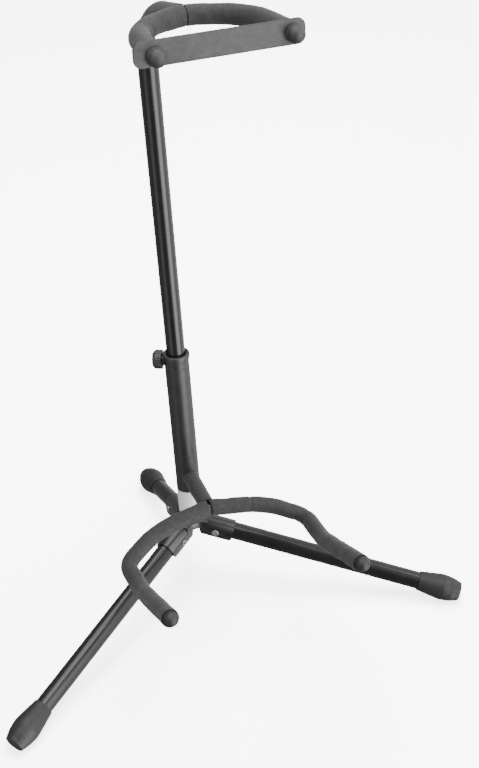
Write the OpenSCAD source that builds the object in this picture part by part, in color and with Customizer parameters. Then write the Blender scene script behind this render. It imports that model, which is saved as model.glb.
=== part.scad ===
// Tripod floor stand for a guitar: folding tube legs under a stamped hub, a leaning
// two-piece telescopic column, a foam-covered cradle and a foam-covered neck yoke
// closed by a rubber strap. Millimetres, +Z up, the front of the stand faces -Y.
// The origin is on the floor, under the middle of the stand's bounding box.

/* [Tubes] */
// Outer diameter of the lower column tube
lower_d = 25.4; // [24:0.1:28]
// Outer diameter of the upper column tube and of the legs
tube_d = 19.05; // [18:0.05:20]
// Wall thickness of every tube
tube_wall = 1.2; // [0.8:0.1:1.6]
// Diameter of the bent rods inside the foam
rod_d = 9.5; // [8:0.1:10]
// Outer diameter of the foam sleeves
foam_d = 17.2; // [15:0.1:19]

/* [Column] */
// Backward lean of the column from upright, in degrees
column_lean = 8.4; // [6:0.1:10]
// Distance from the floor to the lower tube's bottom end, along the column
column_foot = 70; // [66:1:74]
// Distance from the floor to the lower tube's mouth, along the column
column_mouth = 270.5; // [240:0.5:300]
// Distance from the floor to the upper tube's top end, along the column
column_top = 597; // [560:1:640]
// Length of the upper tube
upper_len = 395; // [360:1:400]

/* [Legs] */
// Height of the point where the leg axes meet
hub_height = 71.5; // [68:0.5:76]
// Angle of each front leg from straight ahead, seen from above
front_spread = 57; // [50:1:60]
// Distance from the hub centre to the end of a front foot, along the leg
front_reach = 308; // [280:1:330]
// Distance from the hub centre to the end of the rear foot, along the leg
rear_reach = 162.5; // [150:0.5:200]
// Height of a front leg's axis at the end of its foot
front_foot_z = 9.1; // [8.8:0.1:9.6]
// Height of the rear leg's axis at the end of its foot
rear_foot_z = 8.4; // [8:0.1:8.8]

/* [Hub] */
// Thickness of the stamped sheet
sheet = 1.8; // [1.5:0.1:2]
// Length of a front arm of the hub, along the leg
front_arm = 49; // [46:1:54]
// Length of the rear arm of the hub, along the leg
rear_arm = 57; // [54:1:60]
// Distance from the hub centre to a front leg's rivet
front_pivot = 30; // [28:0.5:34]
// Distance from the hub centre to the rear leg's rivet
rear_pivot = 45; // [40:0.5:48]
// Radius of the hollow between two arms, seen from above
hub_hollow = 22; // [16:1:26]

/* [Cradle] */
// Distance from the floor to the cradle stem, along the column
stem_mount = 138.5; // [130:0.5:150]
// How far the cradle stands off square, turned about its middle, in degrees
cradle_yaw = -2.4; // [-4:0.1:4]
// Radius of the ball on each cradle arm
cradle_ball_r = 7.5; // [7:0.1:8.2]

/* [Yoke] */
// Radius of the gooseneck's sharp bend, just above the column
neck_bend_r = 22; // [16:1:23]
// Upward tilt of the strap studs, in degrees
stud_tilt = 7.6; // [4:0.1:10]
// Radius of the ball on each yoke arm
stud_ball_r = 7.2; // [7:0.1:8]
// Thickness of the strap
strap_t = 2.5; // [2:0.1:3]
// Height of the strap
strap_w = 20; // [18:0.5:24]
// How far the strap's left end stands up, in degrees
strap_rise = 0.8; // [0:0.1:1.5]

/* [Clamp] */
// Distance from the lower tube's mouth up to the thumbscrew
screw_rise = 7; // [4:0.5:8]
// Direction of the thumbscrew around the column, from +X, in degrees
screw_turn = 150; // [100:5:170]
// Radius of the thumbscrew's knob
knob_r = 10; // [8:0.5:12]

/* [Hidden] */

$fn = 72;
bar_sides = 16;                            // sides of a bent bar
bend_step = 9;                             // degrees between a bend's rings
run = 0.05;                                // running clearance, on the radius
gap = 0.3;                                 // clearance between soft parts and their neighbours
lower_r = lower_d / 2;
tube_r = tube_d / 2;
rod_r = rod_d / 2;
foam_r = foam_d / 2;
foam_bore = rod_r + run;
lower_bore = lower_r - tube_wall;

// Legs: slope below level, and direction seen from above
hub_y = 2;
front_slope = asin((hub_height - front_foot_z) / front_reach);
rear_slope = asin((hub_height - rear_foot_z) / rear_reach);
right_dir = front_spread - 90;
left_dir = -90 - front_spread;
rear_dir = 90;

// Hub: a channel that fits over each leg
arm_in = tube_r + 0.1;
arm_out = arm_in + sheet;
front_skirt = 6.5;
rear_skirt = 9;
// The hub's roof above the leg axes' crossing, just clear of the front arms' own crests
web_top = arm_out / cos(front_slope) + 0.3;
web_bottom = -8;
web_bite = 0.6;                            // the hollows cut this far into the arms' sides
rivet_r = 2.4;
rivet_bore_r = 1.8;
rivet_head_r = 4;
rivet_ring_r = 3.1;

// Foot caps
cap_len = 47;
cap_end_r = 9;
cap_floor = 4;                             // rubber beyond the tube's end

// Cradle: middle, shoulder, corner, rise and tip of the right arm, and the bend radii
cradle_mid = [0, -51, 136];
cradle_arm = [[60, -60, 130], [99, -82, 118], [97.5, -126, 127], [95, -220, 183]];
cradle_bends = [20, 20, 110, 60, 110, 20, 20];
cradle_seam = 2;                           // the two foams meet this far right of the middle
ball_neck = 6;                             // the foam ends this far short of the ball's centre

// Yoke: middle, corner and tip of the right arm, and the bend radii
yoke_mid = [0, -20.4, 656];
yoke_corner = [49.5, -36, 656];
yoke_tip = [55.8, -106, 665.3];
yoke_bends = [47, 40, 47];
stud_r = 4;                                // neck of a stud, inside the strap's hole
stud_back = 1.1;                           // thickness of the stud's flange behind the strap
stud_tail = 1;                             // the stud meets the rod this far behind its flange
foam_back = 1.3;                           // the foam ends this far short of the flange
ball_rise = 3.3;                           // from the front of the strap to the ball's centre
neck_corner_t = 611;                       // where the gooseneck's sharp bend starts to turn
neck_shoulder = [0, 45, 636];
neck_bends = [neck_bend_r, 80];
plug_depth = 25;
plug_flange = 2.5;

// Clamp, measured outward from the column's axis
pad_r = 3.4;
pad_t = 1.5;
screw_r = 3;
knob_in = 14.6;
knob_t = 9.9;
nut_r = 6;
nut_out = 14.1;
collar_r = 13.9;                           // at the bell mouth
collar_up = 15;                            // height of the collar above the tube
collar_skirt = 14;                         // depth of the collar inside the tube
bush_len = 22;

// Plan position of the origin: the middle of the foremost ball and the rear foot's end
tip_off = [cradle_arm[3].x, cradle_arm[3].y - cradle_mid.y];
front_y = cradle_mid.y + tip_off.x * sin(cradle_yaw) + tip_off.y * cos(cradle_yaw) - cradle_ball_r;
rear_y = hub_y + rear_reach * cos(rear_slope) + cap_end_r * sin(rear_slope);
origin_y = -(front_y + rear_y) / 2;

paint = [0.09, 0.09, 0.10];
paint_matt = [0.13, 0.13, 0.14];
foam_grey = [0.22, 0.22, 0.23];
rubber_grey = [0.17, 0.17, 0.18];
strap_grey = [0.30, 0.30, 0.31];
zinc = [0.72, 0.72, 0.70];
nylon = [0.16, 0.16, 0.17];

// ---------- vectors and paths ----------
function unit(v) = v / norm(v);
function flip(p) = [-p.x, p.y, p.z];
function turned(p) = let (q = p - cradle_mid)
    cradle_mid + [q.x * cos(cradle_yaw) - q.y * sin(cradle_yaw),
                  q.x * sin(cradle_yaw) + q.y * cos(cradle_yaw), q.z];
function reversed(v) = [for (k = [len(v) - 1 : -1 : 0]) v[k]];

function corner_angle(a, b, c) = acos(unit(a - b) * unit(c - b));

cradle_path = [for (p = concat(reversed([for (q = cradle_arm) flip(q)]), [cradle_mid], cradle_arm))
    turned(p)];
yoke_path = [flip(yoke_tip), flip(yoke_corner), yoke_mid, yoke_corner, yoke_tip];
column_dir = [0, sin(column_lean), cos(column_lean)];
column_root = [0, -11.7, 0];               // where the column's axis meets the floor
cradle_root = column_root + stem_mount * column_dir;
cradle_saddle = bend_middle(cradle_path[3], cradle_path[4], cradle_path[5], cradle_bends[3]);
yoke_saddle = bend_middle(yoke_path[1], yoke_path[2], yoke_path[3], yoke_bends[1]);
neck_path = [column_root + (column_top - plug_depth) * column_dir,
             column_root + neck_corner_t * column_dir, neck_shoulder, yoke_saddle];
weld = 0.15;                               // a stem's end goes this far into the rod it is welded to

// Everything is drawn from the hub's own centre line and moved to the origin here
module placed() { translate([0, origin_y, 0]) children(); }

// Puts z = 0 at point a, with +Z towards point b
module along(a, b) {
    d = unit(b - a);
    side = unit(cross([1, 0, 0], d));
    other = cross(d, side);
    multmatrix([[side.x, other.x, d.x, a.x], [side.y, other.y, d.y, a.y],
                [side.z, other.z, d.z, a.z]]) children();
}

// The points of a round bend of radius r at corner b, between a and c
function bend_points(a, b, c, r) =
    let (half = corner_angle(a, b, c) / 2,
         ua = unit(a - b), uc = unit(c - b),
         middle = b + unit(ua + uc) * r / sin(half),
         from = b + ua * r / tan(half) - middle,
         to = b + uc * r / tan(half) - middle,
         turn = 180 - 2 * half,
         steps = ceil(turn / bend_step))
    [for (k = [0 : steps]) let (f = k / steps)
        middle + (sin((1 - f) * turn) * from + sin(f * turn) * to) / sin(turn)];

// The middle of that bend
function bend_middle(a, b, c, r) =
    b + unit(unit(a - b) + unit(c - b)) * (r / sin(corner_angle(a, b, c) / 2) - r);

// A path's points with every corner rounded, and its ends cut short by trim
function rounded(path, bends, trim = [0, 0]) =
    let (last = len(path) - 1)
    concat([path[0] + unit(path[1] - path[0]) * trim[0]],
           [for (k = [1 : last - 1]) each bend_points(path[k - 1], path[k], path[k + 1], bends[k - 1])],
           [path[last] + unit(path[last - 1] - path[last]) * trim[1]]);

// The part of a left-to-right list of points that lies left of x, or right of it
function at_x(points, x) = [for (k = [1 : len(points) - 1]) let (a = points[k - 1], b = points[k])
    if (a.x < x && b.x >= x) a + (b - a) * (x - a.x) / (b.x - a.x)][0];
function left_of(points, x) = let (end = at_x(points, x))
    concat([for (k = [0 : len(points) - 1]) if (points[k].x < x - 1) points[k]], [end]);
function right_of(points, x) = let (mirrored = [for (q = reversed(points)) flip(q)])
    reversed([for (p = left_of(mirrored, -x)) flip(p)]);

// A round bar along the points; up is a direction that the bar never runs along.
// With a bore it is a sleeve: rings of outer points first, then rings of inner ones.
module bar(points, up, r, bore = 0) {
    last = len(points) - 1;
    function step(k) = unit(points[k + 1] - points[k]);
    function heading(k) = unit(step(max(k - 1, 0)) + step(min(k, last - 1)));
    function ring_points(radius) = [for (k = [0 : last]) let (
            d = heading(k), side = unit(cross(up, d)), other = cross(d, side))
        for (j = [0 : bar_sides - 1]) let (turn = j * 360 / bar_sides)
            points[k] + radius * (cos(turn) * side + sin(turn) * other)];
    count = bar_sides * (last + 1);
    function skin(offset, inward) = [for (k = [0 : last - 1], j = [0 : bar_sides - 1]) let (
            a = offset + k * bar_sides + j, b = offset + k * bar_sides + (j + 1) % bar_sides,
            quad = [a, a + bar_sides, b + bar_sides, b])
        inward ? reversed(quad) : quad];
    function rim(offset) = [for (j = [0 : bar_sides - 1]) offset + j];
    function washer(offset, flipped) = [for (j = [0 : bar_sides - 1]) let (
            a = offset + j, b = offset + (j + 1) % bar_sides, quad = [a, b, b + count, a + count])
        flipped ? reversed(quad) : quad];
    end = last * bar_sides;
    if (bore == 0)
        polyhedron(ring_points(r), concat(skin(0, false), [rim(0)], [reversed(rim(end))]));
    else
        polyhedron(concat(ring_points(r), ring_points(bore)),
            concat(skin(0, false), skin(count, true), washer(0, false), washer(end, true)));
}

module ring(outer, inner, h) {
    difference() {
        cylinder(h = h, r = outer);
        translate([0, 0, -1]) cylinder(h = h + 2, r = inner);
    }
}

// The column's own frame: z is the distance from the floor along the column
module on_column() { placed() translate(column_root) rotate([-column_lean, 0, 0]) children(); }

// A leg's own frame: x runs outward along the leg from the hub centre
module on_leg(dir, slope) {
    placed() translate([0, hub_y, hub_height]) rotate([0, 0, dir]) rotate([0, slope, 0]) children();
}

// The clamp's own frame: z runs outward from the column's axis
module on_clamp() {
    on_column() translate([0, 0, column_mouth + screw_rise]) rotate([0, 0, screw_turn])
        rotate([0, 90, 0]) children();
}

module above_floor() {
    difference() {
        children();
        translate([-500, -500, -100]) cube([1000, 1000, 100]);
    }
}

// ---------- hub and legs ----------
// The channel over one leg, as a solid of half width r; its skirt hangs down by skirt
module arm_form(dir, slope, r, start, end, skirt) {
    on_leg(dir, slope) {
        translate([start, 0, 0]) rotate([0, 90, 0]) cylinder(h = end - start, r = r);
        translate([start, -r, -skirt]) cube([end - start, 2 * r, skirt]);
    }
}

// The sheet between the arms, seen from above: three round hollows of the given radius,
// each centred at the same distance from the axes of its two arms. Its ends across the arms
// are drawn back by inset.
module web_outline(hollow, inset) {
    off = hub_hollow + arm_out - web_bite;
    dirs = [left_dir, right_dir, rear_dir, left_dir + 360];
    function beside(k) = (dirs[k + 1] - dirs[k]) / 2;
    function ahead(dir) = [cos(dir), sin(dir)];
    centres = [for (k = [0 : 2]) off / sin(beside(k)) * ahead(dirs[k] + beside(k))];
    difference() {
        polygon([for (k = [0 : 2]) let (foot = off / tan(beside(k)) - inset)
            each [foot * ahead(dirs[k]), centres[k], foot * ahead(dirs[k + 1])]]);
        for (c = centres) translate(c) circle(hollow);
    }
}

// The webs as one solid; its top falls away from the middle like the front arms' roofs
module webs(hollow, low, high, inset) {
    reach = 60;
    placed() translate([0, hub_y, hub_height]) intersection() {
        translate([0, 0, low]) linear_extrude(high - low) web_outline(hollow, inset);
        translate([0, 0, high - reach * tan(front_slope)])
            cylinder(h = reach * tan(front_slope), r1 = reach, r2 = 0);
        translate([0, 0, low]) cylinder(h = high - low, r = reach);
    }
}

module rivet_bore(dir, slope, pivot) {
    on_leg(dir, slope) translate([pivot, 0, 0]) rotate([90, 0, 0])
        cylinder(h = 40, r = rivet_r, center = true);
}

// Rounds the lower outer corner of both skirts of an arm
module skirt_corner(dir, slope, end, skirt) {
    corner_r = 4;
    on_leg(dir, slope) translate([end - corner_r, 0, corner_r - skirt]) rotate([90, 0, 0])
        difference() {
            translate([0, -2 * corner_r, -20]) cube([2 * corner_r, 2 * corner_r, 40]);
            cylinder(h = 50, r = corner_r, center = true);
        }
}

module hub_bracket() {
    color(paint) difference() {
        union() {
            arm_form(right_dir, front_slope, arm_out, 0, front_arm, front_skirt);
            arm_form(left_dir, front_slope, arm_out, 0, front_arm, front_skirt);
            arm_form(rear_dir, rear_slope, arm_out, 0, rear_arm, rear_skirt);
            webs(hub_hollow, web_bottom, web_top, 0);
        }
        arm_form(right_dir, front_slope, arm_in, -4, front_arm + 1, 30);
        arm_form(left_dir, front_slope, arm_in, -4, front_arm + 1, 30);
        arm_form(rear_dir, rear_slope, arm_in, -4, rear_arm + 1, 30);
        webs(hub_hollow + sheet, web_bottom - 30, web_top - sheet, sheet);
        skirt_corner(right_dir, front_slope, front_arm, front_skirt);
        skirt_corner(left_dir, front_slope, front_arm, front_skirt);
        skirt_corner(rear_dir, rear_slope, rear_arm, rear_skirt);
        rivet_bore(right_dir, front_slope, front_pivot);
        rivet_bore(left_dir, front_slope, front_pivot);
        rivet_bore(rear_dir, rear_slope, rear_pivot);
        on_column() translate([0, 0, column_foot - 20]) cylinder(h = 60, r = lower_r);
    }
}

// A tubular rivet across an arm: a domed head on one side, a rolled ring on the other
module rivet(dir, slope, pivot) {
    head_t = 1.3;
    on_leg(dir, slope) translate([pivot, 0, 0]) rotate([90, 0, 0]) rotate_extrude() difference() {
        union() {
            translate([0, -arm_out]) square([rivet_r, 2 * arm_out]);
            translate([0, arm_out]) square([rivet_head_r - 0.6, head_t]);
            translate([0, arm_out]) square([rivet_head_r, head_t - 0.6]);
            translate([rivet_head_r - 0.6, arm_out + head_t - 0.6]) circle(0.6, $fn = 24);
            translate([0, -arm_out - 1]) square([rivet_ring_r, 1]);
        }
        translate([0, -arm_out - 2]) square([rivet_bore_r, arm_out]);
        translate([-9, -60]) square([9, 120]);
    }
}

module leg_rivets() {
    color(zinc) {
        rivet(right_dir, front_slope, front_pivot);
        rivet(left_dir, front_slope, front_pivot);
        rivet(rear_dir, rear_slope, rear_pivot);
    }
}

// A leg tube: its inner end is a ball about the rivet, so that it turns under the roof
module leg_tube(dir, slope, pivot, reach) {
    color(paint) on_leg(dir, slope) difference() {
        union() {
            translate([pivot, 0, 0]) rotate([0, 90, 0]) cylinder(h = reach - cap_floor - pivot, r = tube_r);
            translate([pivot, 0, 0]) sphere(tube_r);
        }
        translate([pivot - 20, 0, 0]) rotate([0, 90, 0]) cylinder(h = reach + 40, r = tube_r - tube_wall);
        translate([pivot, 0, 0]) rotate([90, 0, 0]) cylinder(h = 30, r = rivet_r + run, center = true);
    }
}

module leg_tube_left() { leg_tube(left_dir, front_slope, front_pivot, front_reach); }
module leg_tube_right() { leg_tube(right_dir, front_slope, front_pivot, front_reach); }
module leg_tube_rear() { leg_tube(rear_dir, rear_slope, rear_pivot, rear_reach); }

// A rubber foot: a bell-shaped cap, worn flat where it meets the floor
module foot_cap(dir, slope, reach) {
    color(rubber_grey) above_floor() on_leg(dir, slope) translate([reach, 0, 0]) rotate([0, -90, 0])
        rotate_extrude() polygon([
            [0, 0], [cap_end_r, 0], [10.4, 1.4], [13.2, 10], [14.2, 15.5], [14.4, 19.5], [13.9, 24],
            [12.4, 35], [11, 44], [10.6, cap_len - 0.6], [10.1, cap_len], [tube_r, cap_len],
            [tube_r, cap_floor], [0, cap_floor]]);
}

module foot_cap_left() { foot_cap(left_dir, front_slope, front_reach); }
module foot_cap_right() { foot_cap(right_dir, front_slope, front_reach); }
module foot_cap_rear() { foot_cap(rear_dir, rear_slope, rear_reach); }

// ---------- column ----------
module lower_column() {
    color(paint_matt) on_column() translate([0, 0, column_foot])
        ring(lower_r, lower_bore, column_mouth - column_foot);
}

// The threaded boss, which stands on the collar and on the tube
module nut_form() {
    difference() {
        on_clamp() cylinder(h = nut_out, r = nut_r);
        on_column() translate([0, 0, column_foot]) cylinder(h = 300, r = lower_r);
    }
}

// The collar plugs into the tube, carries on flush with it and flares to a bell mouth
module mouth_collar() {
    lip = 1.2;
    inner = tube_r + run;
    color(nylon) difference() {
        on_column() translate([0, 0, column_mouth]) rotate_extrude() polygon(concat([
            [inner, -collar_skirt], [lower_bore, -collar_skirt], [lower_bore, 0], [lower_r, 0],
            [lower_r, collar_up - 10], [lower_r + 0.2, collar_up - 8.5],
            [collar_r - 0.3, collar_up - 5.2], [collar_r, collar_up - 4]],
            [for (a = [0 : 15 : 90])
                [collar_r - lip + lip * cos(a), collar_up - lip + lip * sin(a)]],
            [[inner + 1.2, collar_up], [inner + 0.8, collar_up - 0.4], [inner, collar_up - 2]]));
        on_clamp() cylinder(h = 30, r = pad_r + run);
        nut_form();
    }
}

module clamp_nut() {
    color(paint_matt) difference() {
        nut_form();
        on_clamp() cylinder(h = 40, r = screw_r + run);
    }
}

// A plain paper label wrapped round the left and front of the lower tube
module blank_label() {
    label_t = 0.12;
    label_low = 90;
    label_high = 119;
    color("white") on_column() translate([0, 0, label_low]) rotate([0, 0, 95])
        rotate_extrude(angle = 190) translate([lower_r, 0]) square([label_t, label_high - label_low]);
}

module upper_column() {
    color(paint) on_column() translate([0, 0, column_top - upper_len])
        ring(tube_r, tube_r - tube_wall, upper_len);
}

// The bush that centres the upper tube's lower end and slides in the lower tube
module guide_bush() {
    low = column_top - upper_len;
    floor_t = 2.5;
    color(nylon) on_column() translate([0, 0, low - floor_t]) rotate_extrude() difference() {
        square([lower_bore - run, bush_len]);
        translate([-1, -1]) square([8, bush_len + 2]);
        translate([0, floor_t]) square([tube_r + run, bush_len]);
    }
}

module column_plug() {
    color(nylon) on_column() translate([0, 0, column_top]) rotate_extrude() difference() {
        union() {
            translate([0, -plug_depth]) square([tube_r - tube_wall, plug_depth]);
            square([tube_r, plug_flange]);
        }
        translate([-1, -plug_depth - 1]) square([rod_r + 1, plug_depth + plug_flange + 2]);
    }
}

// ---------- clamp ----------
// A pad with a hollow face that presses on the upper tube
module clamp_pad() {
    color(nylon) difference() {
        on_clamp() cylinder(h = tube_r + run + pad_t, r = pad_r);
        on_column() translate([0, 0, column_foot]) cylinder(h = 400, r = tube_r + run);
    }
}

module thumbscrew_stud() {
    start = tube_r + run + pad_t;
    color(zinc) on_clamp() translate([0, 0, start]) cylinder(h = knob_in + knob_t - 2 - start, r = screw_r);
}

// A round knob with a fluted rim
module thumbscrew_knob() {
    flutes = 24;
    flute_r = 0.7;
    edge = 4.5;
    color(nylon) on_clamp() translate([0, 0, knob_in]) difference() {
        rotate_extrude() {
            square([knob_r, knob_t - edge]);
            square([knob_r - edge, knob_t]);
            translate([knob_r - edge, knob_t - edge]) circle(edge);
        }
        translate([0, 0, -1]) cylinder(h = knob_t - 1, r = screw_r);
        translate([0, 0, knob_t - 0.8]) cylinder(h = 2, r = knob_r - edge - 1);
        for (k = [0 : flutes - 1]) rotate([0, 0, k * 360 / flutes])
            translate([knob_r + 0.3, 0, -1]) cylinder(h = knob_t + 2, r = flute_r, $fn = 16);
    }
}

// ---------- cradle ----------
cradle_points = rounded(cradle_path, cradle_bends);
cradle_foam_points = rounded(cradle_path, cradle_bends, [ball_neck, ball_neck]);

// A straight round bar from the column to a point short of the cradle's middle
module stem_form(r, short) {
    placed() along(cradle_root, cradle_saddle)
        cylinder(h = norm(cradle_saddle - cradle_root) - short, r = r);
}

module clear_of_column() {
    difference() {
        children();
        on_column() translate([0, 0, column_foot]) cylinder(h = 200, r = lower_r);
    }
}

module cradle_rod() { color(paint) placed() bar(cradle_points, [0, 0, 1], rod_r); }

module cradle_stem() { color(paint) clear_of_column() stem_form(rod_r, rod_r - weld); }

module cradle_stem_foam() {
    color(foam_grey) clear_of_column() difference() {
        stem_form(foam_r, foam_r + gap);
        stem_form(foam_bore, 0);
    }
}

// Cuts away what lies beyond x, to the right of it or to the left
module cut_right(x) { difference() { children(); translate([x, -400, 0]) cube([400, 800, 800]); } }
module cut_left(x) { difference() { children(); translate([x - 400, -400, 0]) cube([400, 800, 800]); } }

seam_spare = 3;

module cradle_foam_left() {
    color(foam_grey) difference() {
        placed() cut_right(cradle_seam - gap)
            bar(left_of(cradle_foam_points, cradle_seam + seam_spare), [0, 0, 1], foam_r, foam_bore);
        stem_form(foam_bore, 0);
    }
}

module cradle_foam_right() {
    color(foam_grey) difference() {
        placed() cut_left(cradle_seam + gap)
            bar(right_of(cradle_foam_points, cradle_seam - seam_spare), [0, 0, 1], foam_r, foam_bore);
        stem_form(foam_bore, 0);
    }
}

module cradle_cap(tip, before) {
    color(rubber_grey) placed() difference() {
        union() {
            translate(tip) sphere(cradle_ball_r);
            along(tip, before) cylinder(h = ball_neck, r = rod_r + 1.2);
        }
        along(tip, before) cylinder(h = 30, r = rod_r);
    }
}

module cradle_cap_left() { cradle_cap(cradle_path[0], cradle_path[1]); }
module cradle_cap_right() { cradle_cap(cradle_path[8], cradle_path[7]); }

// ---------- yoke ----------
yoke_points = rounded(yoke_path, yoke_bends);
yoke_foam_points = rounded(yoke_path, yoke_bends, [foam_back, foam_back]);

module yoke_rod() {
    color(paint) difference() {
        placed() bar(yoke_points, [0, 0, 1], rod_r);
        for (tip = [yoke_tip, flip(yoke_tip)]) on_stud(tip)
            translate([-rod_d, -rod_d, -stud_tail]) cube([2 * rod_d, 2 * rod_d, rod_d]);
    }
}

module yoke_stem() {
    color(paint) placed()
        bar(rounded(neck_path, neck_bends, [0, rod_r - weld]), [1, 0, 0], rod_r);
}

module yoke_stem_foam() {
    color(foam_grey) placed()
        bar(rounded(neck_path, neck_bends, [plug_depth + plug_flange, foam_r + gap]),
            [1, 0, 0], foam_r, foam_bore);
}

// The gooseneck's hole in the yoke's foam
module neck_bore() { placed() bar(rounded(neck_path, neck_bends), [1, 0, 0], foam_bore); }

module yoke_foam_left() {
    color(foam_grey) difference() {
        placed() cut_right(-gap)
            bar(left_of(yoke_foam_points, seam_spare), [0, 0, 1], foam_r, foam_bore);
        neck_bore();
    }
}

module yoke_foam_right() {
    color(foam_grey) difference() {
        placed() cut_left(gap)
            bar(right_of(yoke_foam_points, -seam_spare), [0, 0, 1], foam_r, foam_bore);
        neck_bore();
    }
}

// The stud's own frame: z runs forward through the strap from the arm's tip
module on_stud(tip) { placed() translate(tip) rotate([90 - stud_tilt, 0, 0]) children(); }

module yoke_stud(tip) {
    head = stud_back + 2 * gap + strap_t;
    color(rubber_grey) on_stud(tip) {
        cylinder(h = stud_back, r = foam_r - 1.5);
        translate([0, 0, -stud_tail]) cylinder(h = stud_tail + head + 1, r = stud_r);
        intersection() {
            translate([0, 0, head + ball_rise]) sphere(stud_ball_r);
            translate([0, 0, head]) cylinder(h = 2 * stud_ball_r, r = stud_ball_r);
        }
    }
}

module yoke_stud_left() { yoke_stud(flip(yoke_tip)); }
module yoke_stud_right() { yoke_stud(yoke_tip); }

// A flat rubber strap: a round hole on the right stud, an open slot over the left one
module neck_strap() {
    corner = 6.5;
    left_end = -73;
    right_end = 64;
    low = -9;
    high = low + strap_w;
    color(strap_grey) on_stud([0, yoke_tip.y, yoke_tip.z])
        translate([0, 0, stud_back + gap]) linear_extrude(strap_t) difference() {
            translate([yoke_tip.x, 0]) rotate(-strap_rise) translate([-yoke_tip.x, 0]) union() {
                translate([left_end + corner, low]) square([right_end - left_end - 2 * corner, strap_w]);
                translate([left_end, low + corner]) square([right_end - left_end, strap_w - 2 * corner]);
                for (x = [left_end + corner, right_end - corner], y = [low + corner, high - corner])
                    translate([x, y]) circle(corner);
            }
            translate([yoke_tip.x, 0]) circle(stud_r + run);
            translate([-yoke_tip.x, 0]) circle(stud_r + 0.15);
            translate([-yoke_tip.x, 0]) polygon([[-stud_r - 0.15, 0], [stud_r + 0.15, 0],
                [stud_r + 1.2, low - 1], [-stud_r - 0.15, low - 1]]);
        }
}

hub_bracket();
leg_rivets();
lower_column();
mouth_collar();
clamp_nut();
blank_label();
cradle_stem();
cradle_rod();
cradle_stem_foam();
cradle_foam_left();
cradle_foam_right();
cradle_cap_left();
cradle_cap_right();
leg_tube_left();
leg_tube_right();
leg_tube_rear();
foot_cap_left();
foot_cap_right();
foot_cap_rear();
guide_bush();
upper_column();
column_plug();
yoke_stem();
yoke_rod();
yoke_stem_foam();
yoke_foam_left();
yoke_foam_right();
yoke_stud_left();
yoke_stud_right();
neck_strap();
clamp_pad();
thumbscrew_stud();
thumbscrew_knob();
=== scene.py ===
import math

import bmesh
import bpy
import numpy as np
from mathutils import Matrix, Vector, noise


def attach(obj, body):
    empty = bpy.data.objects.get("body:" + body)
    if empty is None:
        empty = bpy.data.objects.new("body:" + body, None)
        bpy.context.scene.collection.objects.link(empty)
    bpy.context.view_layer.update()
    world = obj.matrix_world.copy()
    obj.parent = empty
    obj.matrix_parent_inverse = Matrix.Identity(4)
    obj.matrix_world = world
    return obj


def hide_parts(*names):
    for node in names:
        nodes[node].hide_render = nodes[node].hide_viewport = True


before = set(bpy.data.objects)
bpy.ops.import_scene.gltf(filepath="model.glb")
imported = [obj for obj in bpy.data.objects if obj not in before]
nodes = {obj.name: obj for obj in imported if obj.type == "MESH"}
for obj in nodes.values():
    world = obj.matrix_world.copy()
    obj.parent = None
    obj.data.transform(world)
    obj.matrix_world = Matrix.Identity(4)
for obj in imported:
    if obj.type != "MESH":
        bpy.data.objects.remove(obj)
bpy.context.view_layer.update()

# ---------- sizes, in millimetres, as in the CAD model ----------
ORIGIN_Y = 38.0433                       # from the centre-line frame to the part's own origin
ROD_R = 4.75
FOAM_R = 8.6
CAP_R = 7.5
COLUMN_LEAN = math.radians(8.4)
COLUMN_ROOT = Vector((0, -11.7, 0))      # where the column's axis meets the floor
COLUMN_DIR = Vector((0, math.sin(COLUMN_LEAN), math.cos(COLUMN_LEAN)))
HUB = Vector((0, 2, 71.5))
# Each leg's heading in degrees, its length from the hub and the height of its end
LEGS = {"left": (-147, 308, 9.1), "right": (-33, 308, 9.1), "rear": (90, 162.5, 8.4)}
STEM_MOUNT = 138.5                       # up the column to the cradle's stem
CRADLE_MID = Vector((0, -51, 136))
CRADLE_ARM = [Vector(p) for p in ((60, -60, 130), (99, -82, 118), (97.5, -126, 127),
                                  (95, -220, 183))]
CRADLE_BENDS = [70, 20, 110, 60, 110, 20, 70]
CRADLE_YAW = math.radians(-2.4)
CRADLE_SEAM = 2                          # the two foams meet this far right of the middle
YOKE_MID = Vector((0, -20.4, 656))
YOKE_CORNER = Vector((49.5, -36, 656))
YOKE_TIP = Vector((55.8, -106, 665.3))
YOKE_BENDS = [47, 40, 47]
NECK_FOOT = 599.5                        # up the column to the start of the gooseneck's foam
NECK_CORNER = 611
NECK_SHOULDER = Vector((0, 45, 636))
NECK_BENDS = [22, 80]
STUD_TILT = math.radians(7.6)
STUD_WAY = Vector((0, -math.cos(STUD_TILT), math.sin(STUD_TILT)))    # forward through the strap
STUD_R = 4
STUD_BACK = 1.1                          # the stud's flange behind the strap
GAP = 0.3                                # between soft parts and their neighbours
STRAP_T = 2.5
STRAP_RISE = math.radians(0.8)


def metres(p):
    """A point of the CAD's own centre-line frame, in millimetres, as metres from the origin."""
    return Vector((p[0], p[1] + ORIGIN_Y, p[2])) / 1000


# ---------- camera ----------
CAMERA_PLACE = (-0.3347, -0.8775, 1.0377)
CAMERA_AZIMUTH = math.radians(-23.2)
CAMERA_ELEVATION = math.radians(38.5)
CAMERA_LENS = 57.69
CAMERA_SENSOR = 36


def add_camera():
    data = bpy.data.cameras.new("camera")
    data.sensor_width = CAMERA_SENSOR
    data.lens = CAMERA_LENS
    camera = bpy.data.objects.new("camera", data)
    bpy.context.scene.collection.objects.link(camera)
    level = math.cos(CAMERA_ELEVATION)
    back = Vector((math.sin(CAMERA_AZIMUTH) * level, -math.cos(CAMERA_AZIMUTH) * level,
                   math.sin(CAMERA_ELEVATION)))
    camera.location = CAMERA_PLACE
    camera.rotation_mode = "QUATERNION"
    camera.rotation_quaternion = back.to_track_quat("Z", "Y")
    bpy.context.scene.camera = camera


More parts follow.
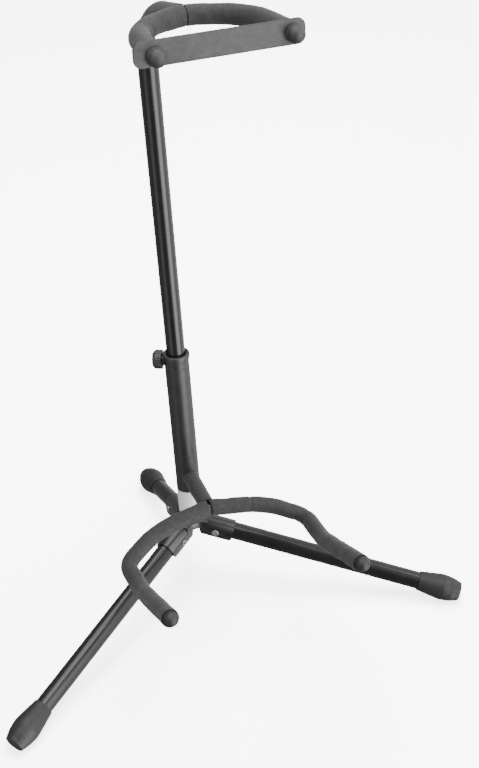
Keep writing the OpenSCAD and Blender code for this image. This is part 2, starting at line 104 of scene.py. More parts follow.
# ---------- node materials ----------
class Shader:
    """A Principled material and short ways to add its nodes. Coordinates are metres on the
    object."""

    def __init__(self, name, color, roughness, metallic=0.0, specular=0.5):
        self.mat = bpy.data.materials.new(name)
        self.mat.use_nodes = True
        self.tree = self.mat.node_tree
        self.bsdf = self.tree.nodes["Principled BSDF"]
        self.bsdf.inputs["Metallic"].default_value = metallic
        self.bsdf.inputs["Specular IOR Level"].default_value = specular
        self.bsdf.inputs["Base Color"].default_value = (*color, 1)
        self.bsdf.inputs["Roughness"].default_value = roughness
        self.coords = self.add("ShaderNodeTexCoord").outputs["Object"]
        self.last_bump = None

    def add(self, kind, **values):
        node = self.tree.nodes.new(kind)
        for key, value in values.items():
            setattr(node, key, value)
        return node

    def link(self, a, b):
        self.tree.links.new(a, b)

    def scaled(self, scale):
        node = self.add("ShaderNodeMapping")
        node.inputs["Scale"].default_value = scale
        self.link(self.coords, node.inputs["Vector"])
        return node.outputs["Vector"]

    def noise(self, scale, detail=3.0, rough=0.55, stretch=(1, 1, 1)):
        node = self.add("ShaderNodeTexNoise")
        node.inputs["Scale"].default_value = scale
        node.inputs["Detail"].default_value = detail
        node.inputs["Roughness"].default_value = rough
        self.link(self.scaled(stretch), node.inputs["Vector"])
        return node.outputs["Fac"]

    def cells(self, scale):
        node = self.add("ShaderNodeTexVoronoi")
        node.inputs["Scale"].default_value = scale
        self.link(self.coords, node.inputs["Vector"])
        return node.outputs["Distance"]

    def ramp(self, source, low, high, from_value, to_value):
        node = self.add("ShaderNodeMapRange")
        node.inputs["From Min"].default_value = low
        node.inputs["From Max"].default_value = high
        node.inputs["To Min"].default_value = from_value
        node.inputs["To Max"].default_value = to_value
        self.link(source, node.inputs["Value"])
        return node.outputs["Result"]

    def tint(self, source, low, high, dark, light):
        """Colour that runs from dark to light as source runs from low to high."""
        node = self.add("ShaderNodeMix", data_type="RGBA")
        self.link(self.ramp(source, low, high, 0, 1), node.inputs["Factor"])
        node.inputs["A"].default_value = (*dark, 1)
        node.inputs["B"].default_value = (*light, 1)
        self.link(node.outputs["Result"], self.bsdf.inputs["Base Color"])

    def rough(self, source, low, high, smooth, matt):
        """Roughness that runs from smooth to matt as source runs from low to high."""
        self.link(self.ramp(source, low, high, smooth, matt), self.bsdf.inputs["Roughness"])

    def bump(self, source, height_mm, strength=1.0):
        """A bump on top of the earlier ones."""
        node = self.add("ShaderNodeBump")
        node.inputs["Strength"].default_value = strength
        node.inputs["Distance"].default_value = height_mm / 1000
        self.link(source, node.inputs["Height"])
        if self.last_bump is not None:
            self.link(self.last_bump, node.inputs["Normal"])
        self.last_bump = node.outputs["Normal"]
        self.link(self.last_bump, self.bsdf.inputs["Normal"])


def paint(name, shade, smooth, matt, peel):
    """Black stoved paint: orange peel, cloudy gloss and a little dust."""
    s = Shader(name, (shade,) * 3, (smooth + matt) / 2)
    s.tint(s.noise(90, 5), 0.35, 0.7, (shade * 0.8, shade * 0.8, shade * 0.82),
           (shade * 1.35, shade * 1.33, shade * 1.3))
    s.rough(s.noise(35, 6, 0.6), 0.3, 0.7, smooth, matt)
    s.bump(s.noise(420, 2), peel)
    return s.mat


def foam_material():
    """Closed-cell foam: a matt skin of fine pores, lighter where it is rubbed."""
    s = Shader("foam_skin", (0.02, 0.02, 0.02), 0.7, specular=0.3)
    s.tint(s.noise(160, 6, 0.65), 0.3, 0.72, (0.015, 0.015, 0.015), (0.026, 0.026, 0.026))
    s.rough(s.noise(300, 3), 0.3, 0.7, 0.58, 0.74)
    s.bump(s.noise(260, 4, 0.6), 0.1)
    s.bump(s.cells(1900), 0.1, 0.8)
    s.bump(s.noise(3500, 2), 0.05)
    s.bsdf.inputs["Sheen Weight"].default_value = 0.12
    s.bsdf.inputs["Sheen Roughness"].default_value = 0.5
    return s.mat


def rubber(name, shade, smooth, matt):
    """Moulded rubber with a fine matt grain and faint chalky patches."""
    s = Shader(name, (shade,) * 3, (smooth + matt) / 2, specular=0.4)
    s.tint(s.noise(70, 6, 0.65), 0.35, 0.75, (shade * 0.85, shade * 0.85, shade * 0.87),
           (shade * 1.35, shade * 1.34, shade * 1.33))
    s.rough(s.noise(240, 4), 0.3, 0.7, smooth, matt)
    s.bump(s.noise(1500, 3), 0.03)
    s.bump(s.noise(180, 3), 0.04)
    return s.mat


def plastic():
    """Moulded nylon with a fine satin grain."""
    s = Shader("black_nylon", (0.018,) * 3, 0.42)
    s.tint(s.noise(120, 4), 0.35, 0.7, (0.014, 0.014, 0.015), (0.026, 0.026, 0.027))
    s.rough(s.noise(260, 4), 0.3, 0.7, 0.34, 0.52)
    s.bump(s.cells(2600), 0.02)
    return s.mat


def zinc():
    """Zinc-plated steel: cloudy grey with fine turning marks."""
    s = Shader("zinc_plate", (0.4, 0.39, 0.37), 0.36, metallic=1.0)
    s.tint(s.noise(700, 4), 0.3, 0.7, (0.3, 0.29, 0.27), (0.5, 0.49, 0.46))
    s.rough(s.noise(1800, 3), 0.3, 0.7, 0.24, 0.44)
    s.bump(s.noise(2200, 3), 0.02)
    return s.mat


def paper():
    """Uncoated white paper, slightly uneven."""
    s = Shader("label_paper", (0.8, 0.8, 0.78), 0.7)
    s.tint(s.noise(380, 5), 0.3, 0.7, (0.72, 0.72, 0.7), (0.86, 0.86, 0.84))
    s.rough(s.noise(500, 3), 0.3, 0.7, 0.6, 0.8)
    s.bump(s.noise(1600, 4), 0.03)
    return s.mat


def floor_material():
    """A nearly white floor that also glows a little, so that it stays pale."""
    s = Shader("floor", (0.9, 0.9, 0.9), 0.7, specular=0.1)
    s.tint(s.noise(3, 2), 0.3, 0.7, (0.9, 0.9, 0.9), (0.92, 0.92, 0.92))
    s.bsdf.inputs["Emission Color"].default_value = (1, 1, 1, 1)
    s.bsdf.inputs["Emission Strength"].default_value = FLOOR_GLOW
    return s.mat


def wear(obj, material):
    """Gives a CAD node its material."""
    obj.data.materials.clear()
    obj.data.materials.append(material)


# ---------- paths ----------
BEND_STEP = 2                            # degrees between the points of a rounded corner


def bend_points(a, b, c, radius, step=BEND_STEP):
    """Points of the arc that rounds corner b of the path a, b, c."""
    ua, uc = (a - b).normalized(), (c - b).normalized()
    half = ua.angle(uc) / 2
    middle = b + (ua + uc).normalized() * radius / math.sin(half)
    start = b + ua * radius / math.tan(half) - middle
    end = b + uc * radius / math.tan(half) - middle
    turn = math.pi - 2 * half
    count = max(2, math.ceil(math.degrees(turn) / step))
    return [middle + (math.sin((1 - k / count) * turn) * start + math.sin(k / count * turn) * end)
            / math.sin(turn) for k in range(count + 1)]


def rounded(path, bends):
    """The path with its inner corners rounded to the radii in bends."""
    points = [path[0]]
    for k, radius in enumerate(bends):
        points += bend_points(path[k], path[k + 1], path[k + 2], radius)
    return points + [path[-1]]


LINE_STEP = 0.5
TURN_PASSES = 6                          # smoothing of a line's direction
BEND_PASSES = 20                         # smoothing of how sharply it bends


def smoothed(rows, passes):
    """Evens out the inner rows in place."""
    for _ in range(passes):
        rows[1:-1] = (rows[:-2] + 2 * rows[1:-1] + rows[2:]) / 4
    return rows


class Line:
    """A smooth line through points, read by the distance along it. Millimetres."""

    def __init__(self, points, up):
        p = np.array([list(q) for q in points], float)
        s = np.concatenate([[0], np.cumsum(np.linalg.norm(np.diff(p, axis=0), axis=1))])
        self.length = s[-1]
        self.s = np.linspace(0, self.length, int(self.length / LINE_STEP))
        self.p = np.stack([np.interp(self.s, s, p[:, k]) for k in range(3)], 1)
        d = smoothed(np.gradient(self.p, self.s, axis=0), TURN_PASSES)
        self.d = d / np.linalg.norm(d, axis=1, keepdims=True)
        side = np.cross(np.array(up, float), self.d)
        self.side = side / np.linalg.norm(side, axis=1, keepdims=True)
        self.other = np.cross(self.d, self.side)
        self.bend = smoothed(np.gradient(self.d, self.s, axis=0), BEND_PASSES)

    def at(self, values, s):
        """The row of values, such as self.p or self.side, at distance s along the line."""
        return np.array([np.interp(s, self.s, values[:, k]) for k in range(3)])

    def where_x(self, x):
        """The distance along the line where it first reaches that x."""
        return float(np.interp(x, self.p[:, 0], self.s))


def new_mesh(name, verts, faces, material):
    mesh = bpy.data.meshes.new(name)
    mesh.from_pydata([tuple(v) for v in verts], [], faces)
    mesh.update()
    mesh.polygons.foreach_set("use_smooth", [True] * len(mesh.polygons))
    mesh.materials.append(material)
    obj = bpy.data.objects.new(name, mesh)
    bpy.context.scene.collection.objects.link(obj)
    return obj


def finish_piece(obj, body, replaced):
    """Parents a piece to its body and hides the CAD node that it stands for."""
    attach(obj, body)
    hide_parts(replaced)


# ---------- foam ----------
FOAM_SIDES = 72
FOAM_STEP = 0.55                         # between the skin's rings
BORE_RINGS = 60
LIP_STEPS = 5
LIP_WALL = 0.25                          # the least flat left at an end
CAP_PLAY = 0.35                          # between a cap and the foam's wide end
SOCKET_DEPTH = 4.5
SOCKET_FLOOR = 5.2
END_FADE = 3                             # lumps and wrinkles die out this near an end
SLANT_REACH = 12                         # a slanted end pulls the skin this far back
SWELLINGS = ((19, 0.6, 0), (7, 0.14, 40))            # size, height and place in the noise
SHARP_BEND = 24                          # mm; a bend of this radius wrinkles fully
OUTSIDE_THIN = 0.2                       # the foam is stretched thinner outside a bend
FOLD_LENGTH, FOLD_HEIGHT, FOLD_SINK = 2.0, 0.24, 0.2    # wrinkles inside a bend


def lump(s, turn, scale, seed):
    """Smooth noise on the sleeve's own skin."""
    return noise.noise(Vector((s / scale + seed, math.cos(turn) * FOAM_R / scale,
                               math.sin(turn) * FOAM_R / scale)))


def swelling(s, turn, up, stretch, seed, dents):
    """Slow lumps and dips; up is how far the skin faces up, stretch how far outside a bend."""
    low = sum(lump(s, turn, size, seed + shift) * height for size, height, shift in SWELLINGS)
    for place, half, depth in dents:
        low -= depth * max(0.0, up) * math.exp(-((s - place) / half) ** 2)
    return low - OUTSIDE_THIN * stretch


def wrinkles(s, turn, squeeze, seed, creases):
    """Fine folds; squeeze is how far the skin lies inside a sharp bend."""
    fine = 0.0
    wave = 2 * math.pi * (s + 1.5 * lump(s, turn, 9, seed + 80))
    if squeeze > 0:
        patchy = max(0.0, 0.35 + 1.3 * lump(s, turn, 7, seed + 9))
        fine += squeeze * patchy * (FOLD_HEIGHT * math.sin(wave / FOLD_LENGTH) - FOLD_SINK)
    for place, half, depth, length in creases:
        near = 1 - ((s - place) / half) ** 2
        if near > 0:
            patchy = max(0.0, 0.55 + 1.1 * lump(s, turn, 6, seed + 23))
            fine += near * depth * patchy * math.sin(wave / length)
    return fine


def lip_rings(place, inward, lip, wide):
    """Rings (distance along, radius, is skin) of a rounded end, from the skin to the bore."""
    rings = []
    for k in range(LIP_STEPS):
        a = math.pi / 2 * k / LIP_STEPS
        rings.append((place + inward * lip * (1 - math.sin(a)),
                      FOAM_R - lip * (1 - math.cos(a)), False))
    bore = CAP_R + CAP_PLAY if wide else ROD_R
    rings += [(place, max(FOAM_R - lip, bore + LIP_WALL), False),
              (place + inward * LIP_WALL, bore, False)]
    if wide:
        rings += [(place + inward * SOCKET_DEPTH, bore, False),
                  (place + inward * SOCKET_FLOOR, ROD_R, False)]
    return rings


def sleeve(name, line, start, end, seed, creases=(), dents=(), start_lip=1.2, end_lip=1.2,
           socket=None, end_slant=0.0):
    """A foam tube on a rod. creases lists (place, half length, depth, wavelength) of wrinkled
    stretches and dents (place, half length, depth) of dips in its top; a lip is how far an end is
    rounded; socket says which end opens wide for a cap; end_slant leans the far end back."""
    first = lip_rings(start, 1, start_lip, socket == "start")
    last = lip_rings(end, -1, end_lip, socket == "end")
    low, high = start + start_lip, end - end_lip
    count = int((high - low) / FOAM_STEP)
    skin = [(low + (high - low) * k / count, FOAM_R, True) for k in range(1, count)]
    bore_from, bore_to = last[-1][0], first[-1][0]
    bore = [(bore_from + (bore_to - bore_from) * k / BORE_RINGS, ROD_R, False)
            for k in range(1, BORE_RINGS)]
    rings = first[::-1] + skin + last + bore
    verts = []
    for s, radius, is_skin in rings:
        centre, side, other = line.at(line.p, s), line.at(line.side, s), line.at(line.other, s)
        along, bend = line.at(line.d, s), line.at(line.bend, s)
        bend_size = float(np.linalg.norm(bend))
        sharp = min(1.0, (bend_size * SHARP_BEND) ** 1.5)
        inside = bend / max(bend_size, 1e-9)
        fade = max(0.0, min(1, (s - start) / END_FADE, (end - s) / END_FADE))
        slant = end_slant * max(0.0, 1 - (end - s) / SLANT_REACH)
        for j in range(FOAM_SIDES):
            turn = 2 * math.pi * j / FOAM_SIDES
            way = math.cos(turn) * side + math.sin(turn) * other
            out = radius
            if is_skin:
                squeeze = sharp * float(way @ inside)
                out += fade * (swelling(s, turn, way[2], max(0.0, -squeeze), seed, dents)
                               + wrinkles(s, turn, squeeze, seed, creases))
            verts.append(centre + out * way - slant * way[2] * along)
    total = len(rings)
    faces = [(k * FOAM_SIDES + j, k * FOAM_SIDES + (j + 1) % FOAM_SIDES,
              (k + 1) % total * FOAM_SIDES + (j + 1) % FOAM_SIDES, (k + 1) % total * FOAM_SIDES + j)
             for k in range(total) for j in range(FOAM_SIDES)]
    return new_mesh(name, [metres(v) for v in verts], faces, FOAM)


def mirrored(p):
    return Vector((-p[0], p[1], p[2]))


def cradle_line():
    """The cradle rod's corners and its centre line, from the left tip to the right one."""
    turn = Matrix.Rotation(CRADLE_YAW, 3, "Z")
    path = [mirrored(p) for p in reversed(CRADLE_ARM)] + [CRADLE_MID] + list(CRADLE_ARM)
    path = [CRADLE_MID + turn @ (p - CRADLE_MID) for p in path]
    return path, Line(rounded(path, CRADLE_BENDS), (0, 0, 1))


def yoke_line():
    """The yoke rod's centre line, from the left tip to the right one."""
    path = [mirrored(YOKE_TIP), mirrored(YOKE_CORNER), YOKE_MID, YOKE_CORNER, YOKE_TIP]
    return Line(rounded(path, YOKE_BENDS), (0, 0, 1))


def wrap(body, foams):
    """Puts sleeves on the body as padding, each in place of its CAD node."""
    for piece, node in foams:
        finish_piece(piece, body, node)


def add_cradle_foams():
    """Two long sleeves that meet off the middle, and a short one on the stem behind them."""
    _, line = cradle_line()
    seam = line.where_x(CRADLE_SEAM)
    left = sleeve("cradle_foam_sleeve_left", line, 1.6, seam - 1.6, 3.1,
                  [(150, 26, 0.22, 2.3), (190, 14, 0.16, 2.6), (120, 14, 0.2, 2.1)],
                  start_lip=0.6, end_lip=1.4, socket="start", end_slant=1.5)
    right = sleeve("cradle_foam_sleeve_right", line, seam + 0.3, line.length - 1.6, 11.7,
                   [(seam + 45, 18, 0.16, 2.2), (seam + 98, 15, 0.28, 2.2),
                    (seam + 78, 12, 0.14, 2.6)],
                   [(seam + 17, 6, 0.9), (seam + 43.5, 1.4, 0.9), (seam + 84, 8, 1.0),
                    (seam + 104, 3, 0.5)],
                   start_lip=1.5, end_lip=0.6, socket="end")
    root = COLUMN_ROOT + STEM_MOUNT * COLUMN_DIR
    middle = Vector(line.at(line.p, seam - CRADLE_SEAM))
    stem = Line([root, middle], (1, 0, 0))
    collar = sleeve("cradle_stem_foam_sleeve", stem, 9.0, stem.length - 5.4, 21.3,
                    [(17, 9, 0.3, 2.6), (38, 10, 0.12, 2.4)], start_lip=1.0, end_lip=0.3)
    wrap("base", ((left, "cradle_foam_left"), (right, "cradle_foam_right"),
                  (collar, "cradle_stem_foam")))


def add_yoke_foams():
    """Two sleeves round the neck opening, and one on the gooseneck that carries them."""
    line = yoke_line()
    seam = line.where_x(0)
    left = sleeve("yoke_foam_sleeve_left", line, 1.3, seam - 0.2, 31.9,
                  [(72, 20, 0.22, 2.2), (110, 12, 0.18, 2.5)], start_lip=0.9, end_lip=1.3)
    right = sleeve("yoke_foam_sleeve_right", line, seam + 0.2, line.length - 1.3, 47.2,
                   [(seam + 40, 24, 0.26, 2.2), (seam + 78, 12, 0.18, 2.5)], start_lip=1.3,
                   end_lip=0.9)
    saddle = Vector(line.at(line.p, seam))
    neck = rounded([COLUMN_ROOT + NECK_FOOT * COLUMN_DIR, COLUMN_ROOT + NECK_CORNER * COLUMN_DIR,
                    NECK_SHOULDER, saddle], NECK_BENDS)
    stem = Line(neck, (1, 0, 0))
    neck_foam = sleeve("yoke_stem_foam_sleeve", stem, 0, stem.length - 7.6, 58.6,
                       [(45, 22, 0.2, 2.4)], start_lip=1.2, end_lip=0.8)
    wrap("mast", ((left, "yoke_foam_left"), (right, "yoke_foam_right"),
                  (neck_foam, "yoke_stem_foam")))


# ---------- turned pieces ----------
PROFILE_STEP = 12                        # degrees between the points of a profile's corner


def smooth_profile(points, radii):
    """An open profile of (radius, height) with its inner corners rounded to radii."""
    corners = [Vector((*p, 0)) for p in points]
    out = [corners[0]]
    for a, b, c, radius in zip(corners, corners[1:], corners[2:], radii):
        out += bend_points(a, b, c, radius, PROFILE_STEP)
    return [(p.x, p.y) for p in out] + [tuple(points[-1])]


def turned_mesh(profile, start, way, sides=96, shape=None):
    """Vertices and faces of a solid of revolution, from a profile of (radius, height) that starts
    and ends on the axis. shape changes a point by its radius, height and turn. Millimetres."""
    way = way.normalized()
    side = (Vector((1, 0, 0)) - way * way.x).normalized()
    other = way.cross(side)
    verts, faces, rows = [], [], []
    for radius, height in profile:
        if radius < 1e-6:
            rows.append([len(verts)])
            verts.append(start + way * height)
            continue
        row = []
        for j in range(sides):
            turn = 2 * math.pi * j / sides
            r, h = shape(radius, height, turn) if shape else (radius, height)
            row.append(len(verts))
            verts.append(start + way * h + side * r * math.cos(turn) + other * r * math.sin(turn))
        rows.append(row)
    for a, b in zip(rows, rows[1:]):
        for j in range(sides):
            quad = (a[j % len(a)], a[(j + 1) % len(a)], b[(j + 1) % len(b)], b[j % len(b)])
            face = tuple(dict.fromkeys(quad))
            if len(face) > 2:
                faces.append(face)
    return verts, faces


def ball_profile(radius, centre, low, steps=22):
    """From height low on the ball's skin up to its pole."""
    first = math.asin((low - centre) / radius)
    turns = [first + (math.pi / 2 - first) * k / steps for k in range(steps)]
    return ([(radius * math.cos(a), centre + radius * math.sin(a)) for a in turns]
            + [(0, centre + radius)])


def add_caps():
    """Dome caps pressed into the ends of the cradle's foam."""
    base, rim = -5.9, -0.2               # heights from the rod's tip: the cap's foot, the dome
    boss_r, dome_r = ROD_R + 1.2, CAP_R - 0.1
    low = smooth_profile([(ROD_R, base), (boss_r, base), (boss_r, base + 1.6),
                          (CAP_R - 0.15, base + 2.5), (dome_r, base + 4.7)], [0.3, 0.3, 0.8])
    profile = [(0, base)] + low + ball_profile(dome_r, rim, rim + 0.4)
    path, _ = cradle_line()
    for name, tip, before in (("left", path[0], path[1]), ("right", path[-1], path[-2])):
        verts, faces = turned_mesh(profile, tip, tip - before)
        obj = new_mesh(f"cradle_dome_cap_{name}", [metres(v) for v in verts], faces, RUBBER)
        finish_piece(obj, "base", f"cradle_cap_{name}")


def add_studs():
    """Ball studs: a flange behind the strap, a neck through it and a flanged ball in front."""
    tail, flange_r, ball_flange_r, ball_r = -1, 7.1, 7.6, 7.15
    head = STUD_BACK + 2 * GAP + STRAP_T
    low = smooth_profile(
        [(0, tail), (STUD_R, tail), (STUD_R, 0), (flange_r, 0), (flange_r, STUD_BACK),
         (STUD_R, STUD_BACK), (STUD_R, head), (ball_flange_r, head), (ball_flange_r, head + 1.0),
         (6.75, head + 1.15)],
        [0.2, 0.1, 0.4, 0.4, 0.1, 0.1, 0.35, 0.3])
    profile = low + ball_profile(ball_r, head + 3.4, head + 1.4)
    for name, tip in (("left", mirrored(YOKE_TIP)), ("right", YOKE_TIP)):
        verts, faces = turned_mesh(profile, tip, STUD_WAY)
        obj = new_mesh(f"yoke_ball_stud_{name}", [metres(v) for v in verts], faces, BALL_RUBBER)
        finish_piece(obj, "mast", f"yoke_stud_{name}")


# A foot from the tube's end outwards and round to its sole: (radius, height), corner radii
FOOT_SIDES = 144
FOOT_BORE_R = 9.53
FOOT_OUTLINE = [(0, 4), (FOOT_BORE_R, 4), (FOOT_BORE_R, 47), (10.5, 47), (11.0, 44), (12.4, 35),
                (14.0, 24), (14.4, 19.5), (13.2, 10), (10.3, 0.6), (9.4, 0), (8.2, 0), (7.6, 0.7),
                (0, 0.9)]
FOOT_CORNERS = [0.1, 0.1, 0.5, 1.5, 8, 6, 3.5, 6, 0.8, 0.3, 0.3, 0.3]
FOOT_SKIN_R = 9.9                        # only the outside is wider than this
FOOT_STEP = 0.3                          # between the rings of the outside
PATCH_LOW, PATCH_HIGH = 3.2, 15.2        # heights of the ribbed patch
PATCH_TURN, PATCH_HALF = math.radians(250), math.radians(31)
RIB_PITCH = 1.5
PATCH_DEPTH, RIB_HEIGHT = 0.42, 0.34


def ribbed(r, h, turn):
    """Sinks the patch near a foot's end and leaves ribs standing in it."""
    off = abs((turn - PATCH_TURN + math.pi) % (2 * math.pi) - math.pi)
    if r < FOOT_SKIN_R or not PATCH_LOW < h < PATCH_HIGH or off > PATCH_HALF:
        return r, h
    edge = min(1, (h - PATCH_LOW) / 0.5, (PATCH_HIGH - h) / 0.5, (PATCH_HALF - off) / 0.06)
    rib = RIB_HEIGHT * abs(math.sin((h - PATCH_LOW) * math.pi / RIB_PITCH))
    return r - edge * (PATCH_DEPTH - rib), h


def add_feet():
    """Bell-shaped rubber feet with a ribbed patch near the end."""
    outline = smooth_profile(FOOT_OUTLINE, FOOT_CORNERS)
    profile = [outline[0]]
    for a, b in zip(outline, outline[1:]):
        outside = a[0] > FOOT_SKIN_R and b[0] > FOOT_SKIN_R
        parts = max(1, round(math.dist(a, b) / FOOT_STEP)) if outside else 1
        profile += [(a[0] + (b[0] - a[0]) * k / parts, a[1] + (b[1] - a[1]) * k / parts)
                    for k in range(1, parts + 1)]
    for name, (heading, reach, end_z) in LEGS.items():
        slope = math.asin((HUB.z - end_z) / reach)
        heading = math.radians(heading)
        out = Vector((math.cos(slope) * math.cos(heading), math.cos(slope) * math.sin(heading),
                      -math.sin(slope)))
        verts, faces = turned_mesh(profile, HUB + out * reach, -out, FOOT_SIDES, ribbed)
        verts = [Vector((v.x, v.y, max(v.z, 0))) for v in verts]
        obj = new_mesh(f"foot_cap_moulded_{name}", [metres(v) for v in verts], faces, RUBBER)
        finish_piece(obj, f"{name}_leg", f"foot_cap_{name}")


# ---------- strap ----------
def arc(centre_x, centre_y, r, first, last, steps):
    """Points round a centre, between two angles in degrees."""
    turns = [math.radians(first + (last - first) * k / steps) for k in range(steps + 1)]
    return [(centre_x + r * math.cos(a), centre_y + r * math.sin(a)) for a in turns]


def strap_outline():
    """The strap's outline and its hole, seen from the front, level with the right stud."""
    left_end, right_end, low, high = -73.0, 65.5, -9.0, 11.0
    corner, lip = 6.5, 1.2               # radii of the strap's corners and of the slot's mouth
    slot_x, slot_r, slot_flare, hole_r = -YOKE_TIP.x, 4.15, 2.1, 4.05
    slot_y = -2 * YOKE_TIP.x * math.sin(STRAP_RISE)
    outline = (arc(right_end - corner, high - corner, corner, 0, 90, 14)
               + arc(left_end + corner, high - corner, corner, 90, 180, 14)
               + arc(left_end + corner, low + corner, corner, 180, 270, 14)
               + arc(slot_x - slot_r - lip, low + lip, lip, 270, 360, 6)
               + arc(slot_x, slot_y, slot_r, 180, 0, 28)
               + arc(slot_x + slot_r + slot_flare, low + lip, lip, 180, 270, 6)
               + arc(right_end - corner, low + corner, corner, 270, 360, 14))
    turn = Matrix.Rotation(-STRAP_RISE, 2)
    pivot = Vector((YOKE_TIP.x, 0))
    outline = [tuple(pivot + turn @ (Vector(p) - pivot)) for p in outline]
    return outline, arc(YOKE_TIP.x, 0, hole_r, 0, -360, 40)[:-1]


def bevelled_sheet(loops, thick, edge):
    """A flat sheet with rounded edges, as a mesh: the first loop is its outline, others holes."""
    curve = bpy.data.curves.new("strap_outline", "CURVE")
    curve.dimensions = "2D"
    curve.fill_mode = "BOTH"
    curve.extrude = thick / 2 - edge
    curve.bevel_depth = edge
    curve.bevel_resolution = 4
    curve.offset = -edge
    for loop in loops:
        spline = curve.splines.new("POLY")
        spline.points.add(len(loop) - 1)
        for point, (x, y) in zip(spline.points, loop):
            point.co = (x, y, 0, 1)
        spline.use_cyclic_u = True
    holder = bpy.data.objects.new("strap_outline", curve)
    bpy.context.scene.collection.objects.link(holder)
    bpy.context.view_layer.update()
    view = bpy.context.evaluated_depsgraph_get()
    mesh = bpy.data.meshes.new_from_object(holder.evaluated_get(view))
    bpy.data.objects.remove(holder)
    bpy.data.curves.remove(curve)
    return mesh


def add_strap():
    """The rubber strap: rounded edges, a round hole at the right, an open slot at the left."""
    mesh = bevelled_sheet(strap_outline(), STRAP_T, 0.55)
    across = Vector((1, 0, 0))
    to_part = Matrix((across, STUD_WAY.cross(across), STUD_WAY)).transposed()
    mesh.transform(Matrix.Translation((0, 0, STUD_BACK + GAP + STRAP_T / 2)))
    middle = Vector((0, YOKE_TIP.y, YOKE_TIP.z))
    verts = [metres(middle + to_part @ v.co) for v in mesh.vertices]
    faces = [tuple(p.vertices) for p in mesh.polygons]
    bpy.data.meshes.remove(mesh)
    obj = new_mesh("neck_strap_rubber", verts, faces, STRAP)
    weld(obj, 0.00002)
    finish_piece(obj, "strap", "neck_strap")


SHARP_EDGE = math.radians(35)


def weld(obj, distance):
    """Joins points that lie together, and keeps only edges that turn sharply as sharp."""
    bm = bmesh.new()
    bm.from_mesh(obj.data)
    bmesh.ops.remove_doubles(bm, verts=bm.verts, dist=distance)
    bmesh.ops.recalc_face_normals(bm, faces=bm.faces)
    for e in bm.edges:
        e.smooth = len(e.link_faces) == 2 and e.calc_face_angle(0) < SHARP_EDGE
    bm.to_mesh(obj.data)
    bm.free()


# ---------- CAD nodes that stay ----------
def dress_nodes():
    looks = {
        "upper_column": PAINT_GLOSS, "lower_column": PAINT_MATT, "hub_bracket": PAINT_HUB,
        "cradle_stem": PAINT_HUB, "cradle_rod": PAINT_HUB, "yoke_stem": PAINT_HUB,
        "yoke_rod": PAINT_HUB, "mouth_collar": NYLON, "guide_bush": NYLON, "column_plug": NYLON,
        "clamp_pad": NYLON, "thumbscrew_knob": NYLON, "leg_rivets": ZINC, "clamp_nut": PAINT_MATT,
        "thumbscrew_stud": ZINC, "blank_label": PAPER,
    }
    for name in LEGS:
        looks[f"leg_tube_{name}"] = PAINT_GLOSS
    for name, material in looks.items():
        wear(nodes[name], material)
    for name, width in (("hub_bracket", 0.35), ("mouth_collar", 0.25), ("thumbscrew_knob", 0.2),
                        ("leg_rivets", 0.15)):
        soften(nodes[name], width)


def soften(obj, width_mm):
    """Small rounded edges, so that they catch the light."""
    merge = obj.modifiers.new("merge", "WELD")
    merge.merge_threshold = 0.00001
    bevel = obj.modifiers.new("edges", "BEVEL")
    bevel.width = width_mm / 1000
    bevel.segments = 3
    bevel.limit_method = "ANGLE"
    bevel.angle_limit = math.radians(38)
    bevel.use_clamp_overlap = True
    bevel.harden_normals = True


# ---------- floor and light ----------
# Soft glows round the stand: heading in degrees, how tall (0 is a full-height strip), the cosines
# where it begins and is full, strength
GLOWS = (
    (-66, 0.25, 0.90, 0.985, 6.5),
    (-154, 0.25, 0.92, 0.985, 1.0),
    (-5, 1.0, -0.1, 1.0, 1.5),
)
SKY = 0.32
FLOOR_GLOW = 3.5
# Lamps that all face the stand: name, place, width, height in metres, power in watts
LAMPS = (
    ("key", (-0.15, -0.2, 2.2), 1.1, 1.1, 24),
    ("side", (1.5, -0.3, 1.5), 0.5, 1.4, 14),
    ("top", (0.1, 0.9, 2.0), 1.4, 0.8, 18),
    ("left", (-0.95, -0.35, 1.8), 0.5, 0.9, 15),
    ("wash", (0.5, 0.5, 2.4), 1.6, 1.6, 260),
)
LAMP_AIM = Vector((0, 0, 0.3))


def add_world():
    """A dim sky with the soft glows in it, which the gloss of the tubes reflects."""
    world = bpy.data.worlds.new("studio")
    world.use_nodes = True
    tree = world.node_tree

    def add(kind, operation, a, b=None):
        node = tree.nodes.new(kind)
        node.operation = operation
        for socket, value in ((node.inputs[0], a), (node.inputs[1], b)):
            if hasattr(value, "is_output"):
                tree.links.new(value, socket)
            elif value is not None:
                socket.default_value = value
        return node.outputs["Value" if operation in ("ADD", "DOT_PRODUCT") else "Vector"]

    way = tree.nodes.new("ShaderNodeTexCoord").outputs["Generated"]
    total = SKY
    for heading, tall, edge, full, strength in GLOWS:
        heading = math.radians(heading)
        flat = add("ShaderNodeVectorMath", "MULTIPLY", way, (1, 1, tall))
        near = add("ShaderNodeVectorMath", "DOT_PRODUCT",
                   add("ShaderNodeVectorMath", "NORMALIZE", flat),
                   (math.cos(heading), math.sin(heading), 0))
        ramp = tree.nodes.new("ShaderNodeMapRange")
        ramp.interpolation_type = "SMOOTHSTEP"
        ramp.inputs["From Min"].default_value = edge
        ramp.inputs["From Max"].default_value = full
        ramp.inputs["To Max"].default_value = strength
        tree.links.new(near, ramp.inputs["Value"])
        total = add("ShaderNodeMath", "ADD", ramp.outputs["Result"], total)
    background = tree.nodes["Background"]
    background.inputs["Color"].default_value = (1, 1, 1, 1)
    tree.links.new(total, background.inputs["Strength"])
    bpy.context.scene.world = world


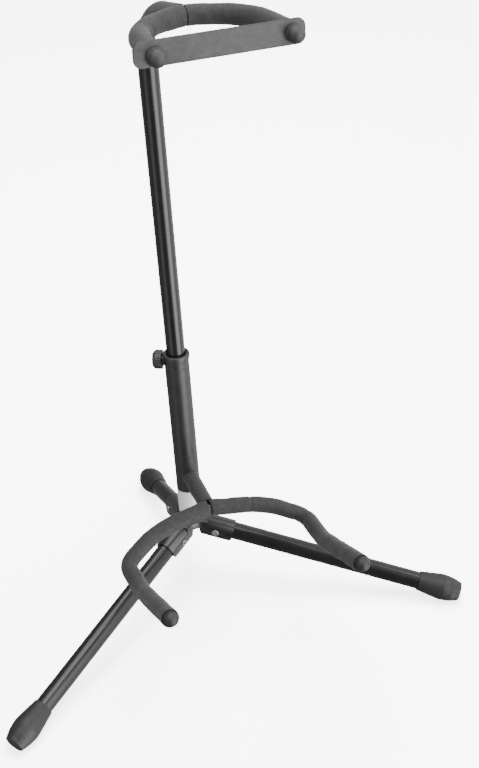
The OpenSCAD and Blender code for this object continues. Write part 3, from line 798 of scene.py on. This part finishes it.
def add_floor():
    """A round floor that curves up into a wall far away, lit so that it is nearly white."""
    far, rise, top, steps = 5.0, 1.5, 6, 96
    curve = [math.radians(15 * k) for k in range(7)]
    profile = [(far - rise + rise * math.sin(a), rise - rise * math.cos(a)) for a in curve]
    profile.append((far, top))
    verts = [(0, 0, 0)]
    for r, z in profile:
        turns = [2 * math.pi * j / steps for j in range(steps)]
        verts += [(r * math.cos(a), r * math.sin(a), z) for a in turns]
    faces = [(0, 1 + j, 1 + (j + 1) % steps) for j in range(steps)]
    for k in range(len(profile) - 1):
        a, b = 1 + k * steps, 1 + (k + 1) * steps
        faces += [(a + j, b + j, b + (j + 1) % steps, a + (j + 1) % steps) for j in range(steps)]
    floor = new_mesh("floor", verts, faces, floor_material())
    floor.visible_glossy = False
    floor.visible_diffuse = False
    return floor


def add_lamps(floor):
    for name, place, width, height, power in LAMPS:
        data = bpy.data.lights.new(name, "AREA")
        data.shape = "RECTANGLE"
        data.size, data.size_y, data.energy = width, height, power
        lamp = bpy.data.objects.new(name, data)
        lamp.location = place
        lamp.rotation_euler = (LAMP_AIM - Vector(place)).to_track_quat("-Z", "Y").to_euler()
        bpy.context.scene.collection.objects.link(lamp)
        if name == "wash":               # only whitens the floor, and leaves soft shadows
            lit = bpy.data.collections.new("washed")
            lit.objects.link(floor)
            lamp.light_linking.receiver_collection = lit


# ---------- the scene ----------
PAINT_GLOSS = paint("tube_paint", 0.008, 0.22, 0.28, 0.004)
PAINT_MATT = paint("column_paint", 0.014, 0.42, 0.5, 0.008)
PAINT_HUB = paint("hub_paint", 0.01, 0.26, 0.34, 0.01)
FOAM = foam_material()
RUBBER = rubber("foot_rubber", 0.015, 0.45, 0.6)
BALL_RUBBER = rubber("ball_rubber", 0.028, 0.5, 0.64)
STRAP = rubber("strap_rubber", 0.024, 0.42, 0.55)
NYLON = plastic()
ZINC = zinc()
PAPER = paper()

add_camera()
add_world()
add_lamps(add_floor())
dress_nodes()
add_cradle_foams()
add_yoke_foams()
add_caps()
add_studs()
add_feet()
add_strap()
